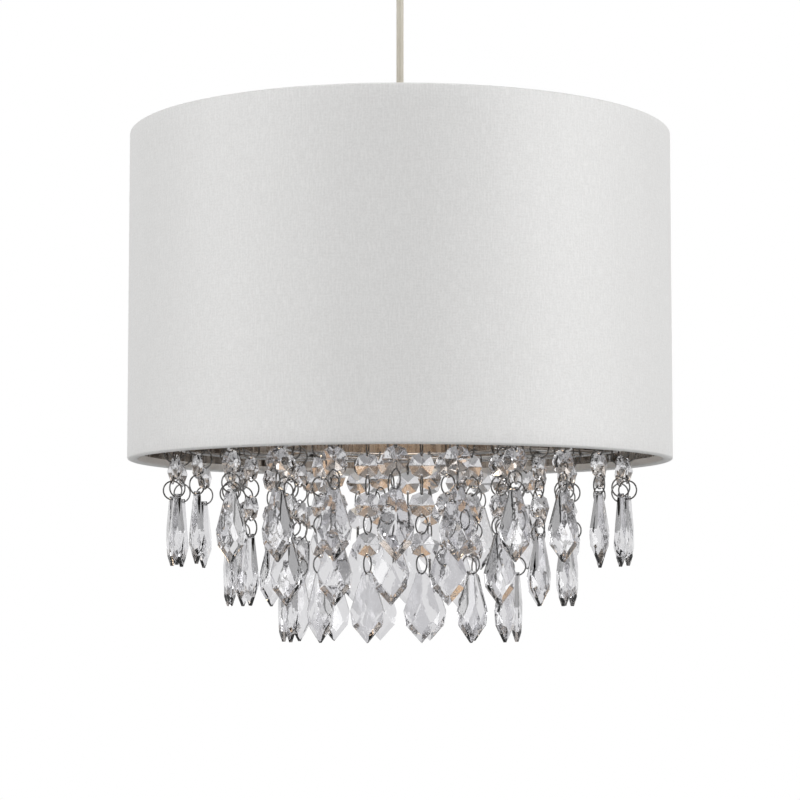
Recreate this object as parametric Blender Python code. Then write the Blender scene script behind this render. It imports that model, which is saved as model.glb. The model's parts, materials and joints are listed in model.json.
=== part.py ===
# Drum pendant light with three tiers of hanging droplets.
# Metres, +Z up. The origin is on the ceiling, at the middle of the rose's flat back.
# Seen from the front, along +Y, a strand's angle is counted from the front towards +X.
import math

import bmesh
import bpy
from mathutils import Matrix, Vector

# Clearances
seat_gap = 0.0003
swing_gap = 0.0008
cutter_overrun = 0.002
weld_sink = 0.0003

# Ceiling rose
rose_base_radius = 0.0345
rose_base_thickness = 0.004
rose_rim_height = 0.011
rose_rim_wall = 0.003
rose_wall = 0.0024
rose_height = 0.030
rose_shoulder_height = 0.016
outlet_radius = 0.0045
outlet_length = 0.004
mount_hole_radius = 0.0023
mount_hole_spacing = 0.051
cable_hole_radius = 0.006
cable_hole_offset = 0.020
terminal_length = 0.042
terminal_depth = 0.012
terminal_height = 0.012
terminal_offset = 0.011
terminal_well_radius = 0.0020
terminal_well_depth = 0.006
terminal_pitch = 0.013
terminal_count = 3

# Flex
flex_diameter = 0.004
flex_length = 0.080
flex_tail_rise = 0.012
flex_tail_bend = 0.004

# Lampholder
holder_cap_height = 0.030
holder_cap_radius = 0.0185
holder_cap_top_radius = 0.0085
holder_cap_shoulder = 0.012
holder_cap_chamfer = 0.0009
holder_wall = 0.002
flex_entry_clearance = 0.0008
flex_entry_depth = 0.003
holder_neck_height = 0.012
flange_radius = 0.0205
flange_thickness = 0.003
skirt_radius = 0.01375
skirt_length = 0.024
block_thickness = 0.009
block_ledge = 0.0015
ledge_width = 0.0015
plunger_radius = 0.0021
plunger_spacing = 0.010
plunger_reach = 0.0022
plunger_head = 0.0015
plunger_clearance = 0.0003
pin_slot_clearance = 0.0006
pin_turn = math.radians(22)
retainer_radius = 0.0205
retainer_height = 0.009
retainer_wall = 0.003
retainer_band = 0.003

# Lamp
lamp_cap_radius = 0.011
lamp_cap_length = 0.0235
lamp_contact_height = 0.0010
lamp_contact_radius = 0.0024
lamp_pin_radius = 0.0010
lamp_pin_drop = 0.0068
lamp_pin_reach = 0.0016
lamp_length = 0.103
lamp_globe_radius = 0.030
lamp_neck_radius = 0.0100
lamp_glass_wall = 0.0010
# Places down the neck: shares of the globe's radius and of the glass's length
lamp_flare_shares = ((0.37, 0.87), (0.60, 0.71), (0.92, 0.53))

# Shade
shade_radius = 0.150
shade_height = 0.181
fabric_thickness = 0.0006
lining_thickness = 0.0005
hem_depth = 0.0075
frame_wire_radius = 0.0015

# Shade spider and reducer ring
spider_drop = 0.022
spider_hole_radius = 0.0215
spider_plate_width = 0.0045
spider_plate_thickness = 0.0015
spider_spoke_radius = 0.0014
spider_bend = 0.004
spider_spoke_inset = 0.0011
spider_spokes = 3
reducer_flange_radius = 0.0250
reducer_flange_thickness = 0.0015
reducer_proud = 0.0004

# Droplet frame
tier_wire_radius = 0.0010
tier_height = 0.008
outer_tier_inset = 0.025
tier_spacing = 0.0305
frame_spoke_radius = 0.0012
frame_bend = 0.003
frame_spokes = 4
frame_spoke_angle = math.radians(33.2)

# Strands
outer_strands = 25
middle_strands = 20
inner_strands = 14
outer_first_angle = math.radians(-1.0)
middle_first_angle = math.radians(-2.8)
inner_first_angle = math.radians(-15.5)
outer_bead_count = 1
middle_bead_count = 2
inner_bead_count = 3
link_outer_diameter = 0.011
link_wire_radius = 0.00042
hole_inset = 0.0013
bead_diameter = 0.014
bead_thickness = 0.0062
drop_length = 0.038
drop_width = 0.019
drop_shoulder_width = 0.0165
drop_thickness = 0.0064
drop_neck_width = 0.0060
drop_neck_thickness = 0.0034
drop_foot_thickness = 0.0050
drop_tip_thickness = 0.0022
# Places down the drop, as shares of its length
drop_ridge_share = 0.46
drop_belt_share = 0.56
drop_shoulder_share = 0.76
drop_foot_share = 0.87
bead_ridge_share = 0.35

# Facet counts and mesh limits
shade_sides = 40
round_sides = 20
small_sides = 8
wire_sides = 4
link_sides = 6
link_wire_sides = 3
bead_corners = 8
dome_steps = 3
globe_steps = 5
flex_steps = 9
flex_bevel_steps = 2
wire_bevel_steps = 1
bend_steps = 2
pin_sweep_steps = 4
sharp_angle = math.radians(40)
merge_distance = 1e-7

# Heights that follow from the sizes
outlet_z = -rose_height - outlet_length
flex_end_z = outlet_z - flex_length
flange_z = flex_end_z - holder_cap_height - flange_thickness
reducer_top_z = flange_z - seat_gap
plate_top_z = reducer_top_z - reducer_proud
plate_bottom_z = plate_top_z - spider_plate_thickness
reducer_flange_z = plate_bottom_z - seat_gap
reducer_bottom_z = reducer_flange_z - reducer_flange_thickness
shade_top_z = plate_top_z + spider_drop
shade_bottom_z = shade_top_z - shade_height
tier_z = shade_bottom_z + tier_height

# Radii that follow from the sizes
lining_outer = shade_radius - fabric_thickness - seat_gap
lining_inner = lining_outer - lining_thickness
frame_ring_radius = lining_inner - seat_gap - frame_wire_radius
hem_outer = frame_ring_radius - frame_wire_radius - seat_gap
skirt_bore = lamp_cap_radius + seat_gap
outer_tier_radius = shade_radius - outer_tier_inset
middle_tier_radius = outer_tier_radius - tier_spacing
inner_tier_radius = middle_tier_radius - tier_spacing


def material(name, color, roughness, metallic=0.0, transmission=0.0):
    mat = bpy.data.materials.new(name)
    mat.use_nodes = True
    shader = mat.node_tree.nodes["Principled BSDF"]
    shader.inputs["Base Color"].default_value = (*color, 1.0)
    shader.inputs["Roughness"].default_value = roughness
    shader.inputs["Metallic"].default_value = metallic
    shader.inputs["Transmission Weight"].default_value = transmission
    return mat


def added(name, mesh, mat=None, smooth=False):
    obj = bpy.data.objects.new(name, mesh)
    bpy.context.scene.collection.objects.link(obj)
    if mat:
        mesh.materials.clear()
        mesh.materials.append(mat)
    if smooth:
        mesh.shade_smooth()
        mesh.set_sharp_from_angle(angle=sharp_angle)
    return obj


def meshed(name, bm):
    bmesh.ops.recalc_face_normals(bm, faces=bm.faces)
    mesh = bpy.data.meshes.new(name)
    bm.to_mesh(mesh)
    bm.free()
    return mesh


def turned(name, profile, sides, mat=None):
    """A closed profile of (radius, height) points, turned about Z."""
    bm = bmesh.new()
    corners = [bm.verts.new((r, 0.0, z)) for r, z in profile]
    edges = [bm.edges.new((a, b)) for a, b in zip(corners, corners[1:] + corners[:1])
             if a.co.x or b.co.x]
    bmesh.ops.spin(bm, geom=corners + edges, axis=(0, 0, 1), cent=(0, 0, 0),
                   angle=2 * math.pi, steps=sides, use_merge=True)
    bmesh.ops.remove_doubles(bm, verts=bm.verts, dist=merge_distance)
    return added(name, meshed(name, bm), mat, smooth=True)


def circle(radius, center_r, center_z, sides):
    """Profile points of a round wire's section, one of them at the top."""
    turns = [math.pi / 2 + 2 * math.pi * k / sides for k in range(sides)]
    return [(center_r + radius * math.cos(t), center_z + radius * math.sin(t)) for t in turns]


def wire_ring(name, radius, z, wire_radius, sides, section=wire_sides):
    return turned(name, circle(wire_radius, radius, z, section), sides)


def cylinder(name, radius, low, high, sides=small_sides, x=0.0, y=0.0):
    bm = bmesh.new()
    bmesh.ops.create_cone(bm, cap_ends=True, segments=sides, radius1=radius, radius2=radius,
                          depth=high - low)
    bmesh.ops.translate(bm, verts=bm.verts, vec=(x, y, (low + high) / 2))
    return added(name, meshed(name, bm), smooth=True)


def box(name, low, high, mat=None):
    bm = bmesh.new()
    bmesh.ops.create_cube(bm, size=1.0)
    bmesh.ops.scale(bm, verts=bm.verts, vec=[b - a for a, b in zip(low, high)])
    bmesh.ops.translate(bm, verts=bm.verts, vec=[(a + b) / 2 for a, b in zip(low, high)])
    return added(name, meshed(name, bm), mat)


def hull(name, points):
    """The cut stone whose corners are these points."""
    bm = bmesh.new()
    corners = [bm.verts.new(p) for p in points]
    bmesh.ops.convex_hull(bm, input=corners)
    return added(name, meshed(name, bm))


def tube(name, points, radius, mat=None, bevel_steps=wire_bevel_steps):
    curve = bpy.data.curves.new(name, "CURVE")
    curve.dimensions = "3D"
    curve.bevel_depth = radius
    curve.bevel_resolution = bevel_steps
    curve.use_fill_caps = True
    spline = curve.splines.new("POLY")
    spline.points.add(len(points) - 1)
    for spot, point in zip(spline.points, points):
        spot.co = (*point, 1.0)
    obj = bpy.data.objects.new(name, curve)
    bpy.context.scene.collection.objects.link(obj)
    if mat:
        curve.materials.append(mat)
    return obj


def settled(obj, name=None):
    """The object with its modifiers or its curve turned into a plain mesh."""
    graph = bpy.context.evaluated_depsgraph_get()
    mesh = bpy.data.meshes.new_from_object(obj.evaluated_get(graph))
    out = added(name or obj.name, mesh)
    out.matrix_world = obj.matrix_world.copy()
    bpy.data.objects.remove(obj)
    if name:
        out.name = name
    return out


def combined(name, pieces, operation, mat=None):
    """The first piece with the others joined to it or cut from it."""
    bpy.context.view_layer.update()
    pieces = [p if p.type == "MESH" else settled(p) for p in pieces]
    first, rest = pieces[0], pieces[1:]
    for piece in rest:
        step = first.modifiers.new(operation, "BOOLEAN")
        step.operation = operation
        step.object = piece
    out = settled(first, name)
    for piece in rest:
        bpy.data.objects.remove(piece)
    out.data.name = name
    if mat:
        out.data.materials.clear()
        out.data.materials.append(mat)
        out.data.shade_smooth()
        out.data.set_sharp_from_angle(angle=sharp_angle)
    return out


def around(count, first=0.0):
    return [first + 2 * math.pi * k / count for k in range(count)]


def place(angle, radius, z):
    """A point at an angle counted from the front, towards +X."""
    return Vector((radius * math.sin(angle), -radius * math.cos(angle), z))


def smoothed(points, steps):
    """Points along a smooth curve through the given ones."""
    points = [Vector(p) for p in points]
    ends = [2 * points[0] - points[1], *points, 2 * points[-1] - points[-2]]
    out = []
    for a, b, c, d in zip(ends, ends[1:], ends[2:], ends[3:]):
        for k in range(steps):
            t = k / steps
            out.append(0.5 * (2 * b + (c - a) * t + (2 * a - 5 * b + 4 * c - d) * t ** 2
                              + (3 * b - a - 3 * c + d) * t ** 3))
    return [*out, points[-1]]


# Ceiling rose

def rose_base():
    low = -rose_base_thickness
    rim_inner = rose_base_radius - rose_rim_wall
    body = turned("rose_base", [
        (0.0, 0.0), (rose_base_radius, 0.0), (rose_base_radius, low - rose_rim_height),
        (rim_inner, low - rose_rim_height), (rim_inner, low), (0.0, low)], round_sides)
    holes = [cylinder("mount_hole", mount_hole_radius, low - cutter_overrun, cutter_overrun,
                      x=side * mount_hole_spacing / 2) for side in (-1, 1)]
    cable = cylinder("cable_hole", cable_hole_radius, low - cutter_overrun, cutter_overrun,
                     y=cable_hole_offset)
    return combined("rose_base", [body, *holes, cable], "DIFFERENCE", white_plastic)


def terminal_block():
    top = -rose_base_thickness - seat_gap
    low = top - terminal_height
    middle = -terminal_offset
    body = box("rose_terminal_block",
               (-terminal_length / 2, middle - terminal_depth / 2, low),
               (terminal_length / 2, middle + terminal_depth / 2, top))
    wells = [cylinder("well", terminal_well_radius, low - cutter_overrun,
                      low + terminal_well_depth,
                      x=(k - (terminal_count - 1) / 2) * terminal_pitch, y=middle)
             for k in range(terminal_count)]
    return combined("rose_terminal_block", [body, *wells], "DIFFERENCE", white_plastic)


def rose_cover():
    inner = rose_base_radius + seat_gap
    outer = inner + rose_wall
    top, shoulder = -seat_gap * 2, -rose_shoulder_height
    dome_drop = rose_height - rose_shoulder_height
    flat = outlet_radius + rose_wall

    def dome(wide, drop):
        turns = [math.pi / 2 * k / dome_steps for k in range(dome_steps + 1)]
        return [(flat + (wide - flat) * math.cos(t), shoulder - drop * math.sin(t)) for t in turns]

    profile = [(outer, top), *dome(outer, dome_drop),
               (flat, outlet_z), (outlet_radius, outlet_z),
               (outlet_radius, shoulder - dome_drop + rose_wall),
               *dome(inner, dome_drop - rose_wall)[::-1], (inner, top)]
    return turned("rose_cover", profile, round_sides, white_plastic)


def flex_tail():
    start = outlet_z + swing_gap
    bend_z = start + flex_tail_rise
    end = -terminal_offset + terminal_depth / 2 + seat_gap
    route = [(0, 0, start), (0, 0, start + flex_tail_rise / 2), (0, 0, bend_z - flex_tail_bend / 2),
             (0, end / 2, bend_z + flex_tail_bend / 2), (0, end, bend_z + flex_tail_bend / 2)]
    return tube("flex_tail", smoothed(route, bend_steps), flex_diameter / 2, cream_flex,
                flex_bevel_steps)


def flex():
    low = flex_end_z - flex_entry_depth
    points = [(0, 0, outlet_z + (low - outlet_z) * k / flex_steps) for k in range(flex_steps + 1)]
    return tube("flex", points, flex_diameter / 2, cream_flex, flex_bevel_steps)


# Lampholder

def holder_cap():
    entry = flex_diameter / 2 + flex_entry_clearance
    low = flange_z + flange_thickness + seat_gap
    top = flex_end_z
    shoulder = low + holder_cap_shoulder
    inner = holder_cap_radius - holder_wall
    roof = top - flex_entry_depth - seat_gap
    profile = [(entry, top), (holder_cap_top_radius - holder_cap_chamfer, top),
               (holder_cap_top_radius, roof),
               (holder_cap_radius, shoulder), (holder_cap_radius, low), (inner, low),
               (inner, shoulder), (holder_cap_top_radius - holder_wall, roof), (entry, roof)]
    return turned("lampholder_cap", profile, round_sides, white_plastic)


def holder_body():
    neck = holder_cap_radius - holder_wall - seat_gap
    ledge = flange_z + flange_thickness - block_ledge
    profile = [(skirt_radius, flange_z), (flange_radius, flange_z),
               (flange_radius, flange_z + flange_thickness), (neck, flange_z + flange_thickness),
               (neck, flange_z + flange_thickness + holder_neck_height),
               (neck - holder_wall, flange_z + flange_thickness + holder_neck_height),
               (neck - holder_wall, ledge), (skirt_bore - ledge_width, ledge),
               (skirt_bore - ledge_width, ledge - block_ledge), (skirt_bore, ledge - block_ledge),
               (skirt_bore, flange_z - skirt_length), (skirt_radius, flange_z - skirt_length)]
    body = turned("lampholder_body", profile, round_sides)
    return combined("lampholder_body", [body, *pin_slots()], "DIFFERENCE", white_plastic)


def pin_slots():
    """For each of the lamp's two pins, a leg up from the mouth and a run round to where it rests."""
    half = lamp_pin_radius + pin_slot_clearance
    pin_z = lamp_top_z() - lamp_pin_drop
    inside = skirt_bore - cutter_overrun
    outside = skirt_radius + cutter_overrun
    past_pin = math.asin(half / skirt_radius)
    out = []
    for pin_angle in (-math.pi / 2, math.pi / 2):
        start = Matrix.Rotation(pin_angle - pin_turn, 4, "Z")
        leg = box("leg", (inside, -half, flange_z - skirt_length - cutter_overrun),
                  (outside, half, pin_z + half))
        leg.data.transform(start)
        bm = bmesh.new()
        frame = [bm.verts.new((r, 0.0, z)) for r, z in (
            (inside, pin_z - half), (outside, pin_z - half),
            (outside, pin_z + half), (inside, pin_z + half))]
        face = bm.faces.new(frame)
        bmesh.ops.spin(bm, geom=[face, *face.edges[:], *frame], axis=(0, 0, 1), cent=(0, 0, 0),
                       angle=pin_turn + past_pin, steps=pin_sweep_steps)
        run = added("run", meshed("run", bm))
        run.data.transform(start)
        out += [leg, run]
    return out


def contact_block():
    low = flange_z + flange_thickness - block_ledge + seat_gap
    radius = holder_cap_radius - 2 * holder_wall - 2 * seat_gap
    body = cylinder("contact_block", radius, low, low + block_thickness, round_sides)
    bores = [cylinder("bore", plunger_radius + plunger_clearance, low - cutter_overrun,
                      low + block_thickness + cutter_overrun, x=side * plunger_spacing / 2)
             for side in (-1, 1)]
    return combined("contact_block", [body, *bores], "DIFFERENCE", dark_plastic)


def lamp_top_z():
    """The top of the lamp's contacts, where the plungers meet them."""
    return flange_z + flange_thickness - 2 * block_ledge - plunger_reach


def plunger(side, name):
    low = lamp_top_z() + seat_gap
    high = low + plunger_reach + block_thickness
    profile = [(0.0, low), (plunger_radius - plunger_head / 2, low),
               (plunger_radius, low + plunger_head / 2), (plunger_radius, high), (0.0, high)]
    obj = turned(name, [(r, z - low) for r, z in profile], small_sides, brass)
    obj.location = (side * plunger_spacing / 2, 0, low)
    return obj


def retaining_ring():
    top = reducer_bottom_z - seat_gap
    low = top - retainer_height
    bore = skirt_radius + seat_gap
    profile = [(bore, top), (retainer_radius, top), (retainer_radius, top - retainer_band),
               (bore + retainer_wall, low), (bore, low)]
    return turned("retaining_ring", profile, round_sides, white_plastic)


def reducer_ring():
    bore = skirt_radius + seat_gap
    plug = spider_hole_radius - seat_gap
    profile = [(bore, reducer_top_z), (plug, reducer_top_z), (plug, reducer_flange_z),
               (reducer_flange_radius, reducer_flange_z), (reducer_flange_radius, reducer_bottom_z),
               (bore, reducer_bottom_z)]
    return turned("reducer_ring", profile, round_sides, white_plastic)


# Lamp

def lamp_cap():
    top = lamp_top_z() - lamp_contact_height
    low = lamp_top_z() - lamp_cap_length
    body = cylinder("lamp_cap", lamp_cap_radius, low, top, round_sides)
    contacts = [cylinder("contact", lamp_contact_radius, top - weld_sink, lamp_top_z(),
                         x=side * plunger_spacing / 2) for side in (-1, 1)]
    pins = cylinder("pins", lamp_pin_radius, -lamp_cap_radius - lamp_pin_reach,
                    lamp_cap_radius + lamp_pin_reach)
    pins.data.transform(Matrix.Translation((0, 0, lamp_top_z() - lamp_pin_drop))
                        @ Matrix.Rotation(math.pi / 2, 4, "X"))
    return combined("lamp_cap", [body, *contacts, pins], "UNION", nickel)


def lamp_glass():
    top = lamp_top_z() - lamp_cap_length - seat_gap
    low = lamp_top_z() - lamp_length
    center = low + lamp_globe_radius

    def skin(inset):
        radius = lamp_globe_radius - inset
        neck = [(lamp_neck_radius - inset, top)]
        flare = [(lamp_globe_radius * wide - inset, low + (top - low) * high)
                 for wide, high in lamp_flare_shares]
        turns = [math.pi / 2 * k / globe_steps for k in range(globe_steps)]
        globe = [(radius * math.cos(t), center - radius * math.sin(t)) for t in turns]
        return [*neck, *flare, *globe, (0.0, center - radius)]

    outside, inside = skin(0.0), skin(lamp_glass_wall)
    return turned("lamp_glass", [*outside, *inside[::-1]], round_sides, opal_glass)


# Shade

def shade_fabric():
    wall = shade_radius - fabric_thickness
    flap = hem_outer - fabric_thickness
    bottom, top = shade_bottom_z, shade_top_z
    profile = [(shade_radius, bottom), (shade_radius, top), (flap, top), (flap, top - hem_depth),
               (hem_outer, top - hem_depth), (hem_outer, top - fabric_thickness),
               (wall, top - fabric_thickness), (wall, bottom + fabric_thickness),
               (hem_outer, bottom + fabric_thickness), (hem_outer, bottom + hem_depth),
               (flap, bottom + hem_depth), (flap, bottom)]
    return turned("shade_fabric", profile, shade_sides, off_white_fabric)


def shade_lining():
    low = shade_bottom_z + fabric_thickness + seat_gap
    high = shade_top_z - fabric_thickness - seat_gap
    return turned("shade_lining", [(lining_outer, low), (lining_outer, high), (lining_inner, high),
                                   (lining_inner, low)], shade_sides, silver_lining)


def spider_frame():
    ring_z = shade_top_z - fabric_thickness - seat_gap - frame_wire_radius
    ring = wire_ring("ring", frame_ring_radius, ring_z, frame_wire_radius, shade_sides)
    plate = turned("plate", [
        (spider_hole_radius, plate_top_z), (spider_hole_radius + spider_plate_width, plate_top_z),
        (spider_hole_radius + spider_plate_width, plate_bottom_z),
        (spider_hole_radius, plate_bottom_z)], round_sides)
    wire_z = plate_top_z + spider_spoke_radius - weld_sink
    spokes = []
    for angle in around(spider_spokes):
        spokes.append(tube("spoke", [
            place(angle, spider_hole_radius + spider_spoke_inset, wire_z),
            place(angle, frame_ring_radius - spider_bend, wire_z),
            place(angle, frame_ring_radius, wire_z + spider_bend),
            place(angle, frame_ring_radius, ring_z)], spider_spoke_radius))
    return combined("spider_frame", [plate, *spokes, ring], "UNION", white_metal)


def bottom_frame():
    ring_z = shade_bottom_z + fabric_thickness + seat_gap + frame_wire_radius
    wire_z = tier_z + tier_wire_radius + frame_spoke_radius - weld_sink
    rings = [wire_ring("ring", frame_ring_radius, ring_z, frame_wire_radius, shade_sides),
             wire_ring("outer", outer_tier_radius, tier_z, tier_wire_radius, shade_sides),
             wire_ring("inner", inner_tier_radius, tier_z, tier_wire_radius, round_sides)]
    spokes = []
    for angle in around(frame_spokes, frame_spoke_angle):
        spokes.append(tube("spoke", [
            place(angle, frame_ring_radius, ring_z),
            place(angle, frame_ring_radius, wire_z - frame_bend),
            place(angle, frame_ring_radius - frame_bend, wire_z),
            place(angle, inner_tier_radius - tier_wire_radius, wire_z)], frame_spoke_radius))
    return combined("bottom_frame", [rings[0], *spokes, *rings[1:]], "UNION", chrome)


# Strands

link_radius = link_outer_diameter / 2 - link_wire_radius
link_bore = link_radius - link_wire_radius


def link(z):
    """A link ring standing in the plane that holds the shade's axis, its middle at a height."""
    ring = wire_ring("link", link_radius, 0.0, link_wire_radius, link_sides, link_wire_sides)
    ring.data.transform(Matrix.Translation((0, 0, z)) @ Matrix.Rotation(math.pi / 2, 4, "Y"))
    return ring


def bead(z):
    """An octagon bead with a corner up, its faces looking out from the shade's axis."""
    radius = bead_diameter / 2
    girdle = [(radius * math.sin(t), 0, z + radius * math.cos(t)) for t in around(bead_corners)]
    ridges = [(x * radius * bead_ridge_share, y * bead_thickness / 2, z)
              for x in (-1, 1) for y in (-1, 1)]
    return hull("bead", [*girdle, *ridges])


def drop(top):
    """A flat icicle drop: a narrow neck, a belt at its widest, a shoulder, and a V with a blunt edge."""
    def row(width, thickness, share):
        return {(x * width / 2, y * thickness / 2, top - drop_length * share)
                for x in (-1, 1) for y in (-1, 1)}

    return hull("drop", sorted(row(drop_neck_width, drop_neck_thickness, 0)
                               | row(0, drop_thickness, drop_ridge_share)
                               | row(drop_width, 0, drop_belt_share)
                               | row(drop_shoulder_width, 0, drop_shoulder_share)
                               | row(0, drop_foot_thickness, drop_foot_share)
                               | row(0, drop_tip_thickness, 1)))


def strand_pieces(beads):
    """Links, beads and drop in their hanging places below the tier wire's middle."""
    z = tier_wire_radius + seat_gap - link_bore
    pieces = [link(z)]
    for _ in range(beads):
        z += hole_inset - link_bore - bead_diameter / 2
        pieces.append(bead(z))
        z += hole_inset - link_bore - bead_diameter / 2
        pieces.append(link(z))
    pieces.append(drop(z + hole_inset - link_bore))
    return pieces


def strand_mesh(name, beads):
    model = combined(name, strand_pieces(beads), "UNION", crystal)
    mesh = model.data
    mesh.shade_flat()
    bpy.data.objects.remove(model)
    return mesh


def hung(name, mesh, angle, radius):
    obj = bpy.data.objects.new(name, mesh)
    bpy.context.scene.collection.objects.link(obj)
    obj.location = place(angle, radius, tier_z)
    obj.rotation_euler = (0, 0, angle)
    return obj


def swinging_tier(name, count, first_angle, radius, beads):
    mesh = strand_mesh(name, beads)
    for k, angle in enumerate(around(count, first_angle)):
        hung(f"{name}_{k + 1:02d}", mesh, angle, radius)


def middle_tier():
    """The middle ring, just under the frame's spokes, with its strands fused to it."""
    mesh = strand_mesh("strand", middle_bead_count)
    ring_z = tier_z - weld_sink - seat_gap
    ring = wire_ring("ring", middle_tier_radius, ring_z, tier_wire_radius, shade_sides)
    strands = []
    for angle in around(middle_strands, middle_first_angle):
        strand = hung("strand", mesh.copy(), angle, middle_tier_radius)
        strand.location.z = ring_z - seat_gap - weld_sink
        strands.append(strand)
    return combined("middle_tier", [ring, *strands], "UNION", crystal)


for old in list(bpy.data.objects):
    bpy.data.objects.remove(old)

white_plastic = material("white_plastic", (0.86, 0.85, 0.82), 0.35)
dark_plastic = material("dark_plastic", (0.16, 0.12, 0.10), 0.5)
cream_flex = material("cream_flex", (0.62, 0.54, 0.42), 0.5)
brass = material("brass", (0.72, 0.53, 0.25), 0.3, 1.0)
nickel = material("nickel", (0.66, 0.64, 0.60), 0.3, 1.0)
opal_glass = material("opal_glass", (0.95, 0.90, 0.80), 0.4)
off_white_fabric = material("off_white_fabric", (0.73, 0.71, 0.67), 0.7)
silver_lining = material("silver_lining", (0.45, 0.45, 0.44), 0.3, 0.9)
white_metal = material("white_metal", (0.85, 0.85, 0.84), 0.4)
chrome = material("chrome", (0.70, 0.70, 0.70), 0.12, 1.0)
crystal = material("crystal", (0.90, 0.90, 0.92), 0.03, 0.0, 1.0)

rose_base()
terminal_block()
rose_cover()
flex_tail()
flex()
holder_cap()
holder_body()
contact_block()
plunger(-1, "plunger_left")
plunger(1, "plunger_right")
retaining_ring()
reducer_ring()
lamp_cap()
lamp_glass()
shade_fabric()
shade_lining()
spider_frame()
bottom_frame()
middle_tier()
swinging_tier("outer_strand", outer_strands, outer_first_angle, outer_tier_radius, outer_bead_count)
swinging_tier("inner_strand", inner_strands, inner_first_angle, inner_tier_radius, inner_bead_count)
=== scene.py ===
# Drum pendant light with hanging droplets: its finishes and fine shapes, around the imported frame.
import json
import math
import random

import bmesh
import bpy
from mathutils import Matrix, Vector


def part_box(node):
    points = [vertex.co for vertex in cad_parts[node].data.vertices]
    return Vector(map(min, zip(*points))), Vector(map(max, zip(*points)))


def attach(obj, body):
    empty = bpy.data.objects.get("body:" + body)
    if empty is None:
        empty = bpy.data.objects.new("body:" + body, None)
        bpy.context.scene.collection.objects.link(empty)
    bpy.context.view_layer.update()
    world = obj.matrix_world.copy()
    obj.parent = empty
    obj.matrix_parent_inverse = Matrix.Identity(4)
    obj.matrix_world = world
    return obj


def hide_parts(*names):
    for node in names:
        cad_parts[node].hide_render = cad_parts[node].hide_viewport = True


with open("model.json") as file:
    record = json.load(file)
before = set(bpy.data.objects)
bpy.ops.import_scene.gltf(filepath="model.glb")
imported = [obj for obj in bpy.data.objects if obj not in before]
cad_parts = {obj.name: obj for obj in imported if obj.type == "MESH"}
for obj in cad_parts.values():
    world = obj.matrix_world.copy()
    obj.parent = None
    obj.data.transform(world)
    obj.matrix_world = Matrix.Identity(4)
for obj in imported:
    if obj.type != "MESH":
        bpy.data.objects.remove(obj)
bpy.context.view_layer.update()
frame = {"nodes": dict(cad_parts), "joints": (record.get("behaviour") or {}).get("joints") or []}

scene = bpy.context.scene
print("frame loaded:", len(frame["nodes"]), "nodes")


def inScene(name, data):
    thing = bpy.data.objects.new(name, data)
    scene.collection.objects.link(thing)
    return thing


# Camera: level with the droplets, looking slightly up, as the photograph was taken

view = {"distance": 1.391, "belowRim": 0.0833, "tiltUp": 4.83, "lens": 113.6, "sensor": 36.0}

shadeLow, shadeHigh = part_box("shade_fabric")
camera = inScene("camera", bpy.data.cameras.new("camera"))
camera.data.lens = view["lens"]
camera.data.sensor_width = view["sensor"]
camera.location = (0, -view["distance"], shadeLow.z - view["belowRim"])
camera.rotation_euler = (math.radians(90 + view["tiltUp"]), 0, 0)
scene.camera = camera


# Helpers for node trees

def feed(tree, socket, value):
    # a socket takes another node's output or a constant
    if isinstance(value, bpy.types.NodeSocket):
        tree.links.new(value, socket)
    else:
        socket.default_value = (*value, 1) if socket.type == "RGBA" else value


def addNode(tree, kind, values=None, **settings):
    node = tree.nodes.new(kind)
    for key, value in settings.items():
        setattr(node, key, value)
    for key, value in (values or {}).items():
        feed(tree, node.inputs[key], value)
    return node


def newFinish(name, color, roughness, **constants):
    # constants are set on the shader's own sockets, named without their spaces
    finish = bpy.data.materials.new(name)
    finish.use_nodes = True
    tree = finish.node_tree
    shader = tree.nodes["Principled BSDF"]
    named = {socket.name.replace(" ", ""): socket for socket in shader.inputs}
    for key, value in {"BaseColor": color, "Roughness": roughness, **constants}.items():
        feed(tree, named[key], value)
    return finish, tree, shader


def objectPlace(tree):
    return addNode(tree, "ShaderNodeTexCoord").outputs["Object"]


def flatPlace(tree):
    # a turned piece's own flat coordinates, in metres round it and along its outline
    return addNode(tree, "ShaderNodeUVMap", uv_map="cut").outputs[0]


def noise(tree, place, scale=1.0, detail=2.0, stretch=(1, 1, 1)):
    mapped = addNode(tree, "ShaderNodeMapping", {"Vector": place, "Scale": stretch})
    return addNode(tree, "ShaderNodeTexNoise", {
        "Vector": mapped.outputs[0], "Scale": scale, "Detail": detail}).outputs["Fac"]


def between(tree, factor, low, high, start=0.3, stop=0.7):
    # a number that goes from low to high as the factor goes from start to stop
    return addNode(tree, "ShaderNodeMapRange", {
        "Value": factor, "From Min": start, "From Max": stop, "To Min": low, "To Max": high}).outputs[0]


def blended(tree, factor, first, second):
    mix = addNode(tree, "ShaderNodeMix", data_type="RGBA")
    for socket, value in zip((mix.inputs[0], mix.inputs[6], mix.inputs[7]), (factor, first, second)):
        feed(tree, socket, value)
    return mix.outputs[2]


def toned(tree, pattern, first, second, start=0.3, stop=0.7):
    # the first colour where the pattern is low, the second where it is high
    return blended(tree, between(tree, pattern, 0.0, 1.0, start, stop), first, second)


def mathNode(tree, how, first, second=0.0):
    return addNode(tree, "ShaderNodeMath", {0: first, 1: second}, operation=how).outputs[0]


def dressed(tree, shader, color, roughness):
    tree.links.new(color, shader.inputs["Base Color"])
    tree.links.new(roughness, shader.inputs["Roughness"])


def raised(tree, shader, height, look):
    bump = addNode(tree, "ShaderNodeBump", {
        "Height": height, "Distance": look["depth"], "Strength": look["strength"]})
    tree.links.new(bump.outputs[0], shader.inputs["Normal"])


# Finishes

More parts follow.
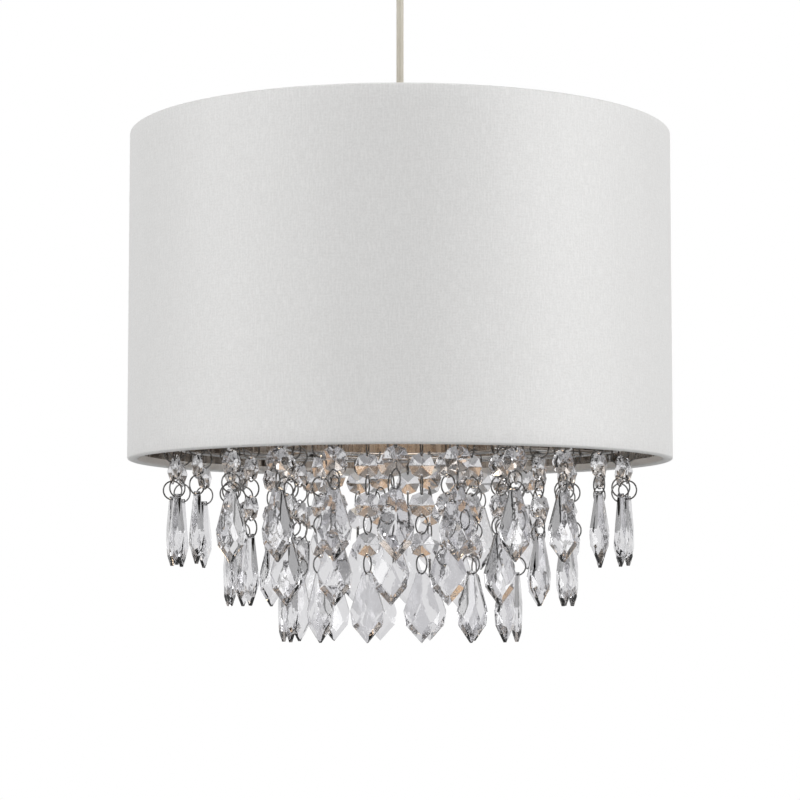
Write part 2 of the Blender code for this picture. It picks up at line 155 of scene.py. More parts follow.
def makeShadeSilk():
    # a fine plain weave, mottled, with short slubs raised both ways; the lengthwise ones are painted lighter,
    # a painted glint of the silk's sheen; each pattern has its share, start and stop
    look = {"pale": (0.80, 0.797, 0.79), "dim": (0.775, 0.772, 0.765), "slub": (0.68, 0.676, 0.665),
            "bright": (0.88, 0.877, 0.87), "roughness": (0.57, 0.67), "mottle": 900.0,
            "bands": (26, 5, 1), "weft": (170, 1300, 1), "warp": (1300, 150, 1),
            "mottled": (0.40, 0.35, 0.65), "wefted": (0.30, 0.45, 0.72), "warped": (0.40, 0.45, 0.72),
            "thread": 0.00042, "woven": 0.35, "depth": 0.00012, "strength": 0.5}
    finish, tree, shader = newFinish("shadeSilk", look["pale"], 0.62, Metallic=0.25)
    flat = flatPlace(tree)
    bands, weft, warp = (noise(tree, flat, stretch=look[run]) for run in ("bands", "weft", "warp"))
    mottle = noise(tree, flat, look["mottle"])
    color = toned(tree, bands, look["pale"], look["dim"])
    # the lengthwise threads take the lighter tone: a painted glint, not a colour of the cloth
    for pattern, share, tone in ((mottle, "mottled", "slub"), (weft, "wefted", "slub"),
                                 (warp, "warped", "bright")):
        color = blended(tree, between(tree, pattern, 0.0, *look[share]), color, look[tone])
    dressed(tree, shader, color, between(tree, mottle, *look["roughness"]))
    split = addNode(tree, "ShaderNodeSeparateXYZ", {"Vector": flat})
    turnsPerMetre = 2 * math.pi / look["thread"]
    across, along = (mathNode(tree, "SINE", mathNode(tree, "MULTIPLY", split.outputs[k], turnsPerMetre))
                     for k in (0, 1))
    weave = mathNode(tree, "MULTIPLY", mathNode(tree, "MULTIPLY", across, along), look["woven"])
    raised(tree, shader, mathNode(tree, "ADD", weave, mathNode(tree, "ADD", weft, warp)), look)
    return finish


def makeFoilLining():
    # silver film, drawn along the drum, with soft creases and fine ripples
    look = {"dark": (0.38, 0.35, 0.32), "light": (0.57, 0.53, 0.49), "roughness": (0.16, 0.36),
            "streaks": (260, 9, 1), "creases": (24, 16, 1), "ripples": (150, 80, 1),
            "streaked": 0.08, "rippled": 0.40, "depth": 0.0011, "strength": 0.6}
    finish, tree, shader = newFinish("foilLining", (0.48, 0.445, 0.41), 0.3, Metallic=1.0)
    flat = flatPlace(tree)
    streaks = noise(tree, flat, detail=3.0, stretch=look["streaks"])
    creases = noise(tree, flat, stretch=look["creases"])
    ripples = noise(tree, flat, detail=1.0, stretch=look["ripples"])
    dressed(tree, shader, toned(tree, streaks, look["dark"], look["light"]),
            between(tree, streaks, *look["roughness"]))
    fine = mathNode(tree, "ADD", mathNode(tree, "MULTIPLY", streaks, look["streaked"]),
                    mathNode(tree, "MULTIPLY", ripples, look["rippled"]))
    raised(tree, shader, mathNode(tree, "ADD", creases, fine), look)
    return finish


def makeWire(name, color, roughness, wear):
    # metal wire and small parts: a fine grain, and small patches worn darker and duller
    look = {"patches": 160.0, "patched": (0.45, 0.7), "duller": 0.16, "grain": 900.0,
            "depth": 0.00003, "strength": 0.5}
    finish, tree, shader = newFinish(name, color, roughness, Metallic=1.0)
    place = objectPlace(tree)
    patches = noise(tree, place, look["patches"], detail=3.0)
    worn = tuple(part * wear for part in color)
    dressed(tree, shader, toned(tree, patches, color, worn, *look["patched"]),
            between(tree, patches, roughness, roughness + look["duller"]))
    raised(tree, shader, noise(tree, place, look["grain"]), look)
    return finish


def makeMoulding(name, color, dull, roughness):
    # moulded plastic: a slight orange peel, with soft changes of gloss and tone
    look = {"tone": 22.0, "gloss": 60.0, "smoother": 0.05, "rougher": 0.1, "peel": 1400.0,
            "depth": 0.00004, "strength": 0.6}
    finish, tree, shader = newFinish(name, color, roughness, CoatWeight=0.15, CoatRoughness=0.25)
    place = objectPlace(tree)
    dressed(tree, shader, toned(tree, noise(tree, place, look["tone"], detail=3.0), color, dull),
            between(tree, noise(tree, place, look["gloss"]), roughness - look["smoother"],
                    roughness + look["rougher"]))
    raised(tree, shader, noise(tree, place, look["peel"]), look)
    return finish


def makeCoatedWire():
    # white coating over wire, thicker in places
    look = {"thick": (0.84, 0.84, 0.82), "thin": (0.74, 0.735, 0.72), "tone": 90.0,
            "roughness": (0.3, 0.5), "runs": 500.0, "depth": 0.00012, "strength": 0.5}
    finish, tree, shader = newFinish("coatedWire", (0.82, 0.82, 0.80), 0.38, CoatWeight=0.2,
                                     CoatRoughness=0.3)
    place = objectPlace(tree)
    tone = noise(tree, place, look["tone"], detail=3.0)
    dressed(tree, shader, toned(tree, tone, look["thick"], look["thin"]),
            between(tree, tone, *look["roughness"]))
    raised(tree, shader, noise(tree, place, look["runs"], detail=3.0), look)
    return finish


def makeSheath():
    # the flex's outer sheath: faint lengthwise marks and a soft bloom
    look = {"pale": (0.76, 0.72, 0.61), "bloomed": (0.66, 0.61, 0.51), "mark": (0.52, 0.48, 0.40),
            "marks": (900, 900, 14), "bloom": (160, 160, 45), "marked": 0.3, "roughness": (0.36, 0.54),
            "depth": 0.00012, "strength": 0.5}
    finish, tree, shader = newFinish("creamSheath", (0.70, 0.66, 0.56), 0.45)
    place = objectPlace(tree)
    marks = noise(tree, place, detail=3.0, stretch=look["marks"])
    bloom = noise(tree, place, stretch=look["bloom"])
    color = toned(tree, bloom, look["pale"], look["bloomed"])
    dressed(tree, shader, blended(tree, between(tree, marks, 0.0, look["marked"]), color, look["mark"]),
            between(tree, marks, *look["roughness"]))
    raised(tree, shader, marks, look)
    return finish


def makeAcrylic():
    # clear cut acrylic: moulded faces that wave a little, with faint scuffs
    look = {"tint": (0.78, 0.777, 0.792), "scuffs": 700.0, "scuffed": (0.06, 0.5, 0.75), "waves": 60.0,
            "ripples": 420.0, "rippled": 0.35, "depth": 0.00020, "strength": 0.45}
    finish, tree, shader = newFinish("clearAcrylic", look["tint"], 0.0, IOR=1.49, TransmissionWeight=1.0)
    place = objectPlace(tree)
    scuffs = noise(tree, place, look["scuffs"], detail=3.0)
    tree.links.new(between(tree, scuffs, 0.0, *look["scuffed"]), shader.inputs["Roughness"])
    ripples = mathNode(tree, "MULTIPLY", noise(tree, place, look["ripples"]), look["rippled"])
    raised(tree, shader, mathNode(tree, "ADD", noise(tree, place, look["waves"], detail=1.0), ripples), look)
    return finish


def makeOpal():
    # opal lamp glass, lit warm: brightest at the crown, dimmer and browner towards the neck
    look = {"milky": (0.95, 0.90, 0.80), "warm": (0.90, 0.83, 0.70), "cloud": 38.0,
            "roughness": (0.24, 0.4), "crownGlow": (1.0, 0.82, 0.56), "sideGlow": (0.32, 0.228, 0.155),
            "neckGlow": (0.16, 0.11, 0.075), "crown": 0.008, "side": 0.03}
    finish, tree, shader = newFinish("opalGlass", (0.93, 0.88, 0.78), 0.3, CoatWeight=0.5,
                                     CoatRoughness=0.05, EmissionStrength=6.0)
    place = objectPlace(tree)
    cloud = noise(tree, place, look["cloud"], detail=3.0)
    dressed(tree, shader, toned(tree, cloud, look["milky"], look["warm"]),
            between(tree, cloud, *look["roughness"]))
    height = addNode(tree, "ShaderNodeSeparateXYZ", {"Vector": place}).outputs[2]
    low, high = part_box("lamp_glass")
    glow = toned(tree, height, look["crownGlow"], look["sideGlow"], low.z, low.z + look["crown"])
    glow = toned(tree, height, glow, look["neckGlow"], low.z + look["side"], high.z)
    tree.links.new(glow, shader.inputs["Emission Color"])
    return finish


shadeSilk = makeShadeSilk()
foilLining = makeFoilLining()
chromeWire = makeWire("chromeWire", (0.46, 0.455, 0.45), 0.12, 0.7)
# the link rings are chrome like the frame but given a much darker tone: painted shade for the dark they
# reflect
linkSteel = makeWire("linkSteel", (0.15, 0.147, 0.145), 0.16, 0.6)
turnedBrass = makeWire("turnedBrass", (0.72, 0.52, 0.24), 0.22, 0.7)
pressedNickel = makeWire("pressedNickel", (0.66, 0.63, 0.58), 0.24, 0.75)
whiteMoulding = makeMoulding("whiteMoulding", (0.84, 0.835, 0.81), (0.79, 0.78, 0.74), 0.32)
brownInsulation = makeMoulding("brownInsulation", (0.12, 0.075, 0.05), (0.16, 0.10, 0.07), 0.45)
coatedWire = makeCoatedWire()
creamSheath = makeSheath()
clearAcrylic = makeAcrylic()
opalGlass = makeOpal()
print("finishes made")


# Helpers for shapes

cutPast = 0.002  # how far a cutter runs past what it cuts


def plainMesh(piece, name):
    # the piece with its modifiers or its curve as a plain mesh, and the piece removed
    bpy.context.view_layer.update()
    graph = bpy.context.evaluated_depsgraph_get()
    mesh = bpy.data.meshes.new_from_object(piece.evaluated_get(graph), depsgraph=graph)
    mesh.name = name
    bpy.data.objects.remove(piece)
    return mesh


def addPiece(name, mesh, finish, sharp=40):
    piece = inScene(name, mesh)
    mesh.materials.clear()
    mesh.materials.append(finish)
    mesh.shade_smooth()
    mesh.set_sharp_from_angle(angle=math.radians(sharp))
    return piece


def settle(piece, body, slot, *nodes):
    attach(piece, body)
    if nodes:
        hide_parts(*nodes)
    return piece


def carried(mesh, where):
    mesh.transform(where)
    return mesh


def around(angle, radius, z):
    # a point at an angle counted from the front towards +X
    return Vector((radius * math.sin(angle), -radius * math.cos(angle), z))


def meshFrom(bm, name):
    mesh = bpy.data.meshes.new(name)
    bm.to_mesh(mesh)
    bm.free()
    return mesh


def outwards(mesh):
    # the mesh with its faces turned outwards
    bm = bmesh.new()
    bm.from_mesh(mesh)
    bmesh.ops.recalc_face_normals(bm, faces=bm.faces)
    bm.to_mesh(mesh)
    bm.free()
    return mesh


def merged(name, meshes):
    # several meshes as one, each with its own closed shell
    bm = bmesh.new()
    for mesh in meshes:
        bm.from_mesh(mesh)
        bpy.data.meshes.remove(mesh)
    return meshFrom(bm, name)


def cutOut(name, mesh, cutters):
    # the mesh with each cutter's shape taken out
    piece = inScene(name, mesh)
    tools = [inScene(f"{name}Cutter{k}", cutter) for k, cutter in enumerate(cutters)]
    for tool in tools:
        step = piece.modifiers.new("cut", "BOOLEAN")
        step.operation = "DIFFERENCE"
        step.object = tool
    out = plainMesh(piece, name)
    for tool in tools:
        bpy.data.objects.remove(tool)
    return out


def rounded(before, corner, after, reach, steps):
    # a small curve in place of a corner, which leaves a tenth of each side straight
    toBefore, toAfter = before - corner, after - corner
    least = min(reach, toBefore.length * 0.45, toAfter.length * 0.45)
    start, end = corner + toBefore.normalized() * least, corner + toAfter.normalized() * least
    shares = [s / steps for s in range(steps + 1)]
    return [start.lerp(corner, t).lerp(corner.lerp(end, t), t) for t in shares]


def softened(outline, reach, steps=3):
    # each corner of a closed outline becomes a small curve, except on the axis
    soft = []
    for k in range(len(outline)):
        before, corner, after = (Vector(outline[j % len(outline)]) for j in (k - 1, k, k + 1))
        soft += rounded(before, corner, after, reach, steps) if corner.x > 0 else [corner]
    return [tuple(p) for p in soft]


def bent(points, reach, steps):
    # an open run of points with each inner corner rounded
    points = [Vector(p) for p in points]
    out = [points[0]]
    for before, corner, after in zip(points, points[1:], points[2:]):
        out += rounded(before, corner, after, reach, steps)
    return [*out, points[-1]]


def turnedMesh(name, outline, sides, wave=None):
    # a closed outline of (radius, height) points turned about Z, with its flat coordinates in metres
    widest = max(r for r, _ in outline)
    verts, rows, walked = [], [], [0.0]
    for (r, z), (nextR, nextZ) in zip(outline, outline[1:] + outline[:1]):
        if r <= 1e-7:
            rows.append([len(verts)] * sides)
            verts.append((0, 0, z))
        else:
            rows.append(list(range(len(verts), len(verts) + sides)))
            for k in range(sides):
                turn = 2 * math.pi * k / sides
                extra = wave(turn, r, z) if wave else 0.0
                verts.append(((r + extra) * math.sin(turn), -(r + extra) * math.cos(turn), z))
        walked.append(walked[-1] + math.hypot(nextR - r, nextZ - z))
    faces, flats = [], []
    for j, row in enumerate(rows):
        nextRow = rows[(j + 1) % len(rows)]
        if row[0] == row[1] and nextRow[0] == nextRow[1]:
            continue
        for k in range(sides):
            m = (k + 1) % sides
            corners = [(row[k], k, j), (row[m], k + 1, j), (nextRow[m], k + 1, j + 1), (nextRow[k], k, j + 1)]
            kept = [c for i, c in enumerate(corners) if c[0] != corners[i - 1][0]]
            faces.append([c[0] for c in kept])
            flats += [(c[1] / sides * 2 * math.pi * widest, walked[c[2]]) for c in kept]
    mesh = bpy.data.meshes.new(name)
    mesh.from_pydata(verts, [], faces)
    layer = mesh.uv_layers.new(name="cut")
    for loop, flat in zip(layer.data, flats):
        loop.uv = flat
    return outwards(mesh)


def turnedPiece(name, outline, finish, sides, sharp=40, wave=None):
    return addPiece(name, turnedMesh(name, outline, sides, wave), finish, sharp)


def rod(name, radius, low, high, sides=32):
    return turnedMesh(name, [(0, low), (radius, low), (radius, high), (0, high)], sides)


def ringMesh(name, radius, z, wire, sides, corners=12):
    turns = [2 * math.pi * k / corners for k in range(corners)]
    return turnedMesh(name, [(radius + wire * math.cos(t), z + wire * math.sin(t)) for t in turns], sides)


def boxMesh(name, size, middle, edge=0.0):
    bm = bmesh.new()
    bmesh.ops.create_cube(bm, size=1.0)
    bmesh.ops.scale(bm, verts=bm.verts, vec=size)
    bmesh.ops.translate(bm, verts=bm.verts, vec=middle)
    if edge:
        bmesh.ops.bevel(bm, geom=bm.edges[:], offset=edge, segments=3, affect="EDGES", profile=0.5)
    return meshFrom(bm, name)


def wireCurve(name, points, radius, steps=4):
    # a round wire through the points
    curve = bpy.data.curves.new(name, "CURVE")
    curve.dimensions = "3D"
    curve.bevel_depth = radius
    curve.bevel_resolution = steps
    curve.use_fill_caps = True
    spline = curve.splines.new("POLY")
    spline.points.add(len(points) - 1)
    for spot, point in zip(spline.points, points):
        spot.co = (*point, 1)
    return inScene(name, curve)


def wireMesh(name, points, radius):
    return plainMesh(wireCurve(name, points, radius), name)


def newTree(name, sockets):
    tree = bpy.data.node_groups.new(name, "GeometryNodeTree")
    tree.interface.new_socket("Geometry", in_out="OUTPUT", socket_type="NodeSocketGeometry")
    for label, kind in sockets:
        tree.interface.new_socket(label, in_out="INPUT", socket_type="NodeSocket" + kind)
    inputs = tree.nodes.new("NodeGroupInput").outputs
    return tree, inputs, tree.nodes.new("NodeGroupOutput").inputs[0]


def upright(tree, value):
    # a vector along Z
    return addNode(tree, "ShaderNodeCombineXYZ", {"Z": value}).outputs[0]


def closeTree(tree, inputs, output, instances):
    real = addNode(tree, "GeometryNodeRealizeInstances", {"Geometry": instances})
    done = addNode(tree, "GeometryNodeSetMaterial", {
        "Geometry": real.outputs[0], "Material": inputs["Finish"]})
    tree.links.new(done.outputs[0], output)


def grown(name, tree, values):
    # the tree's result as a plain mesh
    holder = inScene(name, bpy.data.meshes.new(name))
    modifier = holder.modifiers.new("grow", "NODES")
    modifier.node_group = tree
    for socket in tree.interface.items_tree:
        if socket.in_out == "INPUT":
            modifier[socket.identifier] = values[socket.name]
    return plainMesh(holder, name)


# Rose: the base on the ceiling at height 0, its terminals and the cover that slides down the flex

roseSizes = {"edge": 0.00045, "holeAt": 0.0255, "holeRadius": 0.0023, "sinkRadius": 0.0046,
             "sinkDepth": 0.0022, "cableAt": 0.020, "cableRadius": 0.006, "rimWall": 0.003,
             "plate": 0.004, "wall": 0.0024, "shoulder": 0.016, "outletRadius": 0.0045,
             "collar": 0.004, "coverEdge": 0.0006, "domeSteps": 14}
terminalSizes = {"edge": 0.0007, "apart": 0.013, "wellRadius": 0.0022, "wellDepth": 0.006,
                 "screwRadius": 0.0018, "screwFace": 0.0035, "screwEnd": 0.0058, "screwEdge": 0.0003,
                 "screwSlot": (0.006, 0.0007, 0.0014), "screwTurn": 0.5}


def makeRoseBase():
    # a plate with a rim, two countersunk screw holes and the hole for the cable
    low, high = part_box("rose_base")
    size = roseSizes
    radius, plate = high.x, high.z - size["plate"]
    inner = radius - size["rimWall"]
    outline = [(0, high.z), (radius, high.z), (radius, low.z), (inner, low.z), (inner, plate), (0, plate)]
    mesh = turnedMesh("roseBase", softened(outline, size["edge"]), sides=128)
    below, sunk = plate - cutPast / 2, plate + size["sinkDepth"]
    sink = [(0, below), (size["sinkRadius"] + cutPast / 2, below), (size["holeRadius"], sunk), (0, sunk)]
    cutters = []
    for side in (-1, 1):
        at = Matrix.Translation((side * size["holeAt"], 0, 0))
        cutters.append(carried(rod("hole", size["holeRadius"], plate - cutPast, cutPast), at))
        cutters.append(carried(turnedMesh("sink", sink, sides=32), at))
    cable = rod("cable", size["cableRadius"], plate - cutPast, cutPast)
    cutters.append(carried(cable, Matrix.Translation((0, size["cableAt"], 0))))
    return addPiece("roseBase", cutOut("roseBase", mesh, cutters), whiteMoulding)


def makeTerminals():
    # a block with three wells, open below, and a slotted screw in each well
    low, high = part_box("rose_terminal_block")
    size = terminalSizes
    mesh = boxMesh("block", high - low, (high + low) / 2, size["edge"])
    radius, face, end = size["screwRadius"], low.z + size["screwFace"], low.z + size["screwEnd"]
    outline = softened([(0, end), (0, face), (radius, face), (radius, end)], size["screwEdge"])
    wells, screws = [], []
    for k in (-1, 0, 1):
        at = Matrix.Translation((k * size["apart"], (low.y + high.y) / 2, 0))
        well = rod("well", size["wellRadius"], low.z - cutPast / 2, low.z + size["wellDepth"])
        wells.append(carried(well, at))
        slot = boxMesh("slot", size["screwSlot"], (0, 0, face))
        screw = cutOut("screw", turnedMesh("screw", outline, sides=24), [slot])
        screws.append(carried(screw, at @ Matrix.Rotation(size["screwTurn"] + k, 4, "Z")))
    block = addPiece("terminalBlock", cutOut("terminalBlock", mesh, wells), whiteMoulding)
    return block, addPiece("terminalScrews", merged("terminalScrews", screws), turnedBrass)


def makeRoseCover():
    low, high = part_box("rose_cover")
    size = roseSizes
    outer, outlet, wall = high.x, size["outletRadius"], size["wall"]
    shoulder, flat = -size["shoulder"], outlet + wall
    drop = -low.z - size["collar"] - size["shoulder"]

    def dome(wide, deep):
        turns = [math.pi / 2 * k / size["domeSteps"] for k in range(size["domeSteps"] + 1)]
        return [(flat + (wide - flat) * math.cos(t), shoulder - deep * math.sin(t)) for t in turns]

    outline = [(outer, high.z), *dome(outer, drop), (flat, low.z), (outlet, low.z),
               (outlet, shoulder - drop + wall), *dome(outer - wall, drop - wall)[::-1],
               (outer - wall, high.z)]
    return turnedPiece("roseCover", softened(outline, size["coverEdge"], steps=2), whiteMoulding, sides=160)


settle(makeRoseBase(), "rose", "white_plastic", "rose_base")
terminalBlock, terminalScrews = makeTerminals()
settle(terminalBlock, "rose", "white_plastic", "rose_terminal_block")
settle(terminalScrews, "rose", "brass")
settle(makeRoseCover(), "rose_cover", "white_plastic", "rose_cover")
print("rose made")


# Flex: held straight by the weight below it, with its fixed end inside the rose

flexSizes = {"diameter": 0.004, "points": 24, "tailBend": 0.006}


def makeFlex():
    low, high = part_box("flex")
    last = flexSizes["points"] - 1
    points = [(0, 0, high.z + (low.z - high.z) * k / last) for k in range(last + 1)]
    piece = wireCurve("flexCord", points, flexSizes["diameter"] / 2, steps=5)
    piece.data.materials.append(creamSheath)
    settle(piece, "flex", "cream_flex", "flex")


def makeFlexTail():
    # the end that turns off to the terminals
    low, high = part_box("flex_tail")
    bend = high.z - flexSizes["diameter"] / 2
    points = bent([(0, 0, low.z), (0, 0, bend), (0, low.y, bend)], flexSizes["tailBend"], steps=8)
    return addPiece("flexTail", wireMesh("flexTail", points, flexSizes["diameter"] / 2), creamSheath)


makeFlex()
settle(makeFlexTail(), "rose", "cream_flex", "flex_tail")
print("flex made")


# Lampholder: cap, body with the lamp's pin slots, contact block, plungers and the two rings

holderSizes = {"wall": 0.002, "fit": 0.0003, "capShoulder": 0.012, "capTop": 0.0085, "capTopIn": 0.0009,
               "capEdge": 0.0022, "entry": 0.0028, "roof": 0.0033, "flange": 0.003, "skirtWall": 0.00245,
               "ledge": 0.0015, "bodyEdge": 0.0004, "slot": 0.0016, "pinTurn": math.radians(22),
               "pinDrop": 0.0068, "contactAt": 0.005, "boreRadius": 0.0024, "blockEdge": 0.0006,
               "retainerWall": 0.003, "retainerRim": 0.003, "retainerEdge": 0.0007,
               "plug": 0.0212, "reducerFlange": 0.0015, "reducerEdge": 0.0003}
# the plungers' outline: shares of the radius, and heights above the tip
plungerSizes = {"profile": ((0, 0), (0.6, 0), (1, 0.0008), (1, 0.004), (0.8, 0.0044)), "top": 0.8,
                "edge": 0.0003}
# the ribs' feet and tops: on the cap from its lower edge, on the retaining ring from its upper edge
ribSizes = {"depth": 0.0003, "cap": (0.0015, 0.0105), "capCount": 36,
            "retainer": (-0.0031, -0.0003), "retainerCount": 40}

capLow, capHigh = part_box("lampholder_cap")
lampCapLow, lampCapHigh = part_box("lamp_cap")
skirtRadius = lampCapHigh.x + holderSizes["fit"] + holderSizes["skirtWall"]
ringBore = skirtRadius + holderSizes["fit"]


def makeHolderCap():
    radius, size = capHigh.x, holderSizes
    shoulder, roof = capLow.z + size["capShoulder"], capHigh.z - size["roof"]
    inner = radius - size["wall"]
    outline = [(size["entry"], capHigh.z), (size["capTop"] - size["capTopIn"], capHigh.z),
               (size["capTop"], roof), (radius, shoulder), (radius, capLow.z), (inner, capLow.z),
               (inner, shoulder), (size["capTop"] - size["wall"], roof), (size["entry"], roof)]
    return turnedPiece("holderCap", softened(outline, size["capEdge"], steps=5), whiteMoulding, sides=96)


def slotCutter(name, inner, outer, low, high, start, end, steps=8):
    # a curved block from one angle to another about Z
    verts, faces = [], []
    for k in range(steps + 1):
        t = start + (end - start) * k / steps
        verts += [(r * math.cos(t), r * math.sin(t), z)
                  for r, z in ((inner, low), (outer, low), (outer, high), (inner, high))]
    for k in range(steps):
        a, b = 4 * k, 4 * k + 4
        faces += [(a + i, a + (i + 1) % 4, b + (i + 1) % 4, b + i) for i in range(4)]
    faces += [(0, 1, 2, 3), (4 * steps, 4 * steps + 3, 4 * steps + 2, 4 * steps + 1)]
    mesh = bpy.data.meshes.new(name)
    mesh.from_pydata(verts, [], faces)
    return outwards(mesh)


def makeHolderBody():
    low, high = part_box("lampholder_body")
    size = holderSizes
    flangeTop = capLow.z - size["fit"]
    flangeZ = flangeTop - size["flange"]
    neck = capHigh.x - size["wall"] - size["fit"]
    skirt, bore = skirtRadius, skirtRadius - size["skirtWall"]
    ledge = flangeTop - size["ledge"]
    outline = [(skirt, flangeZ), (high.x, flangeZ), (high.x, flangeTop), (neck, flangeTop),
               (neck, high.z), (neck - size["wall"], high.z), (neck - size["wall"], ledge),
               (bore - size["ledge"], ledge), (bore - size["ledge"], ledge - size["ledge"]),
               (bore, ledge - size["ledge"]), (bore, low.z), (skirt, low.z)]
    mesh = turnedMesh("holderBody", softened(outline, size["bodyEdge"], steps=2), sides=96)
    pinZ = lampCapHigh.z - size["pinDrop"]
    half = size["slot"]
    cutters = []
    for side in (-1, 1):
        start = side * math.pi / 2 - size["pinTurn"]
        for name, foot, before, after in (("leg", low.z - cutPast, half / skirt, half / skirt),
                                          ("run", pinZ - half, 0, size["pinTurn"] + half / skirt)):
            cutters.append(slotCutter(name, bore - cutPast, skirt + cutPast, foot, pinZ + half,
                                      start - before, start + after))
    return addPiece("holderBody", cutOut("holderBody", mesh, cutters), whiteMoulding)


def makeContactBlock():
    low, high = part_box("contact_block")
    size = holderSizes
    outline = [(0, high.z), (high.x, high.z), (high.x, low.z), (0, low.z)]
    mesh = turnedMesh("contactBlock", softened(outline, size["blockEdge"]), sides=64)
    bores = [carried(rod("bore", size["boreRadius"], low.z - cutPast, high.z + cutPast, sides=24),
                     Matrix.Translation((side * size["contactAt"], 0, 0))) for side in (-1, 1)]
    return addPiece("contactBlock", cutOut("contactBlock", mesh, bores), brownInsulation)


def makePlunger(name, node):
    low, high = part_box(node)
    radius, size = (high.x - low.x) / 2, plungerSizes
    outline = [(radius * share, low.z + rise) for share, rise in size["profile"]]
    outline += [(radius * size["top"], high.z), (0, high.z)]
    mesh = turnedMesh(name, softened(outline, size["edge"]), sides=32)
    return addPiece(name, carried(mesh, Matrix.Translation(((low.x + high.x) / 2, 0, 0))), turnedBrass)


def makeRetainer():
    low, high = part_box("retaining_ring")
    size = holderSizes
    outline = [(ringBore, high.z), (high.x, high.z), (high.x, high.z - size["retainerRim"]),
               (ringBore + size["retainerWall"], low.z), (ringBore, low.z)]
    return turnedPiece("retainingRing", softened(outline, size["retainerEdge"]), whiteMoulding, sides=96)


def makeReducer():
    low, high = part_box("reducer_ring")
    size = holderSizes
    plug, flangeTop = size["plug"], low.z + size["reducerFlange"]
    outline = [(ringBore, high.z), (plug, high.z), (plug, flangeTop), (high.x, flangeTop),
               (high.x, low.z), (ringBore, low.z)]
    outline = softened(outline, size["reducerEdge"], steps=2)
    return turnedPiece("reducerRing", outline, whiteMoulding, sides=96)


def makeGripRibs(name, body, count, wide, low, high):
    # small upright ribs round a turned piece
    tree, inputs, output = newTree(name, (("Count", "Int"), ("Radius", "Float"), ("Height", "Float"),
                                          ("Depth", "Float"), ("Middle", "Float"), ("Finish", "Material")))
    ring = addNode(tree, "GeometryNodeMeshCircle", {"Vertices": inputs["Count"], "Radius": inputs["Radius"]})
    rib = addNode(tree, "GeometryNodeMeshUVSphere", {"Segments": 8, "Rings": 6, "Radius": 1.0})
    size = addNode(tree, "ShaderNodeCombineXYZ", {
        "X": inputs["Depth"], "Y": inputs["Depth"], "Z": inputs["Height"]})
    scaled = addNode(tree, "GeometryNodeTransform", {"Geometry": rib.outputs[0], "Scale": size.outputs[0]})
    spread = addNode(tree, "GeometryNodeInstanceOnPoints", {
        "Points": ring.outputs[0], "Instance": scaled.outputs[0]})
    lifted = addNode(tree, "GeometryNodeTransform", {
        "Geometry": spread.outputs[0], "Translation": upright(tree, inputs["Middle"])})
    closeTree(tree, inputs, output, lifted.outputs[0])
    mesh = grown(name, tree, {"Count": count, "Radius": wide - ribSizes["depth"],
                              "Height": (high - low) / 2, "Depth": ribSizes["depth"],
                              "Middle": (high + low) / 2, "Finish": whiteMoulding})
    settle(addPiece(name, mesh, whiteMoulding), body, "white_plastic")


settle(makeHolderCap(), "lampholder", "white_plastic", "lampholder_cap")
settle(makeHolderBody(), "lampholder", "white_plastic", "lampholder_body")
settle(makeContactBlock(), "lampholder", "dark_plastic", "contact_block")
settle(makePlunger("plungerLeft", "plunger_left"), "plunger_left", "brass", "plunger_left")
settle(makePlunger("plungerRight", "plunger_right"), "plunger_right", "brass", "plunger_right")
settle(makeRetainer(), "retaining_ring", "white_plastic", "retaining_ring")
settle(makeReducer(), "lampholder", "white_plastic", "reducer_ring")
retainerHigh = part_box("retaining_ring")[1]
makeGripRibs("capRibs", "lampholder", ribSizes["capCount"], capHigh.x,
             *(capLow.z + rise for rise in ribSizes["cap"]))
makeGripRibs("retainerRibs", "retaining_ring", ribSizes["retainerCount"], retainerHigh.x,
             *(retainerHigh.z + rise for rise in ribSizes["retainer"]))
print("lampholder made")


# Lamp: bayonet cap with its pins and contacts, and the opal globe

lampSizes = {"capRadius": 0.011, "capTop": 0.001, "capEdge": 0.0004, "pinRadius": 0.001,
             "contactRadius": 0.0024, "contactDepth": 0.0005, "contactEdge": 0.0005,
             "globeRadius": 0.030, "neckRadius": 0.0100, "wall": 0.001, "globeSteps": 16}
# the cap's outline: insets from its radius, with the depths below its top or the heights above its foot
capCrown = ((0.0022, 0), (0.0018, 0.0010), (0.0002, 0.0012), (0, 0.002))
capFoot = ((0, 0.0035), (0.0005, 0.0028), (0, 0.0021), (0, 0.0006), (0.0006, 0))
# the globe's flank from the neck down: shares of its radius and of the glass's height
globeFlank = ((0.335, 0.97), (0.35, 0.91), (0.40, 0.84), (0.49, 0.77), (0.615, 0.70), (0.75, 0.63),
              (0.87, 0.56), (0.955, 0.485))


def makeLampCap():
    low, high, size = lampCapLow, lampCapHigh, lampSizes
    radius, top = size["capRadius"], high.z - size["capTop"]
    outline = [(0, top), *((radius - inset, top - drop) for inset, drop in capCrown),
               *((radius - inset, low.z + rise) for inset, rise in capFoot), (0, low.z)]
    shell = turnedMesh("lampCap", softened(outline, size["capEdge"], steps=2), sides=96)
    lying = Matrix.Rotation(math.pi / 2, 4, "X" if high.y > high.x else "Y")
    pin = carried(rod("pin", size["pinRadius"], -high.x, high.x, sides=20),
                  Matrix.Translation((0, 0, high.z - holderSizes["pinDrop"])) @ lying)
    wide, foot = size["contactRadius"], top - size["contactDepth"]
    outline = softened([(0, high.z), (wide, high.z), (wide, foot), (0, foot)], size["contactEdge"])
    contacts = [carried(turnedMesh("contact", outline, sides=24),
                        Matrix.Translation((side * holderSizes["contactAt"], 0, 0))) for side in (-1, 1)]
    return addPiece("lampCap", merged("lampCap", [shell, pin, *contacts]), pressedNickel)


